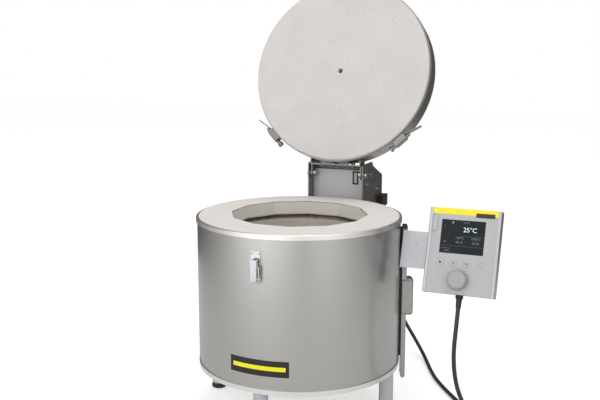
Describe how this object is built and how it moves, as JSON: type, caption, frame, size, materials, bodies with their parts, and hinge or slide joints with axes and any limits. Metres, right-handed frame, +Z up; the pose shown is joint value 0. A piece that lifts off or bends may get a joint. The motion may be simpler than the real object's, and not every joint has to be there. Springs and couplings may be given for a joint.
{
  "type": "plug-in kiln",
  "caption": "Round top-loading electric kiln on four legs, with a hinged lid held open on a stop, a draw latch, and a controller on a side holder with its cable.",
  "frame": {"origin": "the kiln's vertical axis at the standing surface, the centre of the four foot screws", "axes": "+Z up, -Y towards the latch, +X towards the controller, +Y towards the lid's hinge and the switch housing"},
  "size_m": [0.6599, 0.6445, 0.98],
  "materials": {
    "stainless": "brushed",
    "cover_sheet": "rolled sheet",
    "bright_steel": "bright zinc",
    "hinge_steel": "rolled sheet",
    "handle_steel": "satin",
    "housing_sheet": "satin powder coat",
    "leg_tube": "satin powder coat",
    "rubber": "moulded",
    "fibre_brick": "cast, machined flat",
    "firebrick": "sawn",
    "calcium_board": "pressed",
    "resistance_wire": "oxidised",
    "bush_ceramic": "fired",
    "probe": "fired",
    "black_plastic": "moulded",
    "rail_metal": "extruded, anodised",
    "holder_paint": "powder coat",
    "case_plastic": "moulded",
    "fascia_plastic": "moulded, printed",
    "side_rail_metal": "anodised",
    "display_glass": "polished, dark",
    "board": "laminate",
    "spindle_metal": "turned",
    "knob_plastic": "moulded",
    "key_plastic": "moulded, printed",
    "cable_jacket": "extruded"
  },
  "bodies": {
    "kiln": {"jacket": "stainless", "lip_trim": "stainless", "base_pan": "stainless", "latch_base": "bright_steel", "hinge_pins": "bright_steel", "plate_bolts": "bright_steel", "rail_screws": "bright_steel", "hinge_plates": "hinge_steel", "lid_stop": "hinge_steel", "switch_housing": "housing_sheet", "housing_front_panel": "housing_sheet", "housing_top_cover": "housing_sheet", "housing_back_cover": "housing_sheet", "legs": "leg_tube", "foot_pads": "rubber", "collar_brick": "fibre_brick", "wall_bricks": "firebrick", "floor_brick": "firebrick", "wall_insulation": "calcium_board", "floor_insulation": "calcium_board", "heating_element": "resistance_wire", "element_terminals": "resistance_wire", "terminal_bushes": "bush_ceramic", "thermocouple": "probe", "mains_gland": "black_plastic", "cable_connector": "black_plastic", "connector_gland": "black_plastic", "controller_gland": "black_plastic", "rail_strip": "black_plastic", "terminal_block": "black_plastic", "solid_state_relay": "black_plastic", "dial_encoder": "black_plastic", "controller_rail": "rail_metal", "rail_clamp": "rail_metal", "holder_plate": "holder_paint", "holder_bracket": "holder_paint", "controller_case": "case_plastic", "controller_fascia": "fascia_plastic", "controller_side_rails": "side_rail_metal", "screen_glass": "display_glass", "circuit_board": "board", "controller_cable": "cable_jacket"},
    "lid": {"lid_brick": "fibre_brick", "lid_band": "stainless", "lid_cover": "cover_sheet", "lid_strap": "stainless", "strap_clamps": "bright_steel", "lid_bracket": "hinge_steel", "lid_handle": "handle_steel", "lid_keeper": "bright_steel"},
    "latch_lever": {"latch_lever": "bright_steel"},
    "latch_bail": {"latch_bail": "bright_steel"},
    "dial_spindle": {"dial_spindle": "spindle_metal"},
    "dial_knob": {"dial_knob": "knob_plastic"},
    "usb_flap": {"usb_flap": "fascia_plastic"},
    "key_run": {"key_run": "key_plastic"},
    "key_menu": {"key_menu": "key_plastic"},
    "key_back": {"key_back": "key_plastic"},
    "key_info": {"key_info": "key_plastic"}
  },
  "joints": [
    {"name": "lid_hinge", "type": "hinge", "parent": "kiln", "child": "lid", "pos_m": [0, 0.243, 0.487], "axis": [1, 0, 0], "range_deg": [0, 106]},
    {"name": "latch_lever", "type": "hinge", "parent": "kiln", "child": "latch_lever", "pos_m": [0, -0.2295, 0.376], "axis": [-1, 0, 0], "range_deg": [0, 95]},
    {"name": "latch_bail", "type": "hinge", "parent": "latch_lever", "child": "latch_bail", "pos_m": [0, -0.231, 0.366], "axis": [-1, 0, 0], "range_deg": [0, 85]},
    {"name": "dial_turn", "type": "hinge", "parent": "kiln", "child": "dial_spindle", "pos_m": [0.3581, -0.02118, 0.32356], "axis": [0, -0.9397, 0.342], "continuous": true},
    {"name": "dial_press", "type": "slide", "parent": "dial_spindle", "child": "dial_knob", "axis": [0, 0.9397, -0.342], "range_m": [0, 0.0008], "stiffness_N_per_m": 2500, "springref_m": -0.0006},
    {"name": "usb_flap_hinge", "type": "hinge", "parent": "kiln", "child": "usb_flap", "pos_m": [0.29575, 0.01653, 0.43168], "axis": [0, -0.342, -0.9397], "range_deg": [0, 110]},
    {"name": "key_run_press", "type": "slide", "parent": "kiln", "child": "key_run", "axis": [0, 0.9397, -0.342], "range_m": [0, 0.0008], "stiffness_N_per_m": 1800, "springref_m": -0.0005},
    {"name": "key_menu_press", "type": "slide", "parent": "kiln", "child": "key_menu", "axis": [0, 0.9397, -0.342], "range_m": [0, 0.0008], "stiffness_N_per_m": 1800, "springref_m": -0.0005},
    {"name": "key_back_press", "type": "slide", "parent": "kiln", "child": "key_back", "axis": [0, 0.9397, -0.342], "range_m": [0, 0.0008], "stiffness_N_per_m": 1800, "springref_m": -0.0005},
    {"name": "key_info_press", "type": "slide", "parent": "kiln", "child": "key_info", "axis": [0, 0.9397, -0.342], "range_m": [0, 0.0008], "stiffness_N_per_m": 1800, "springref_m": -0.0005}
  ]
}
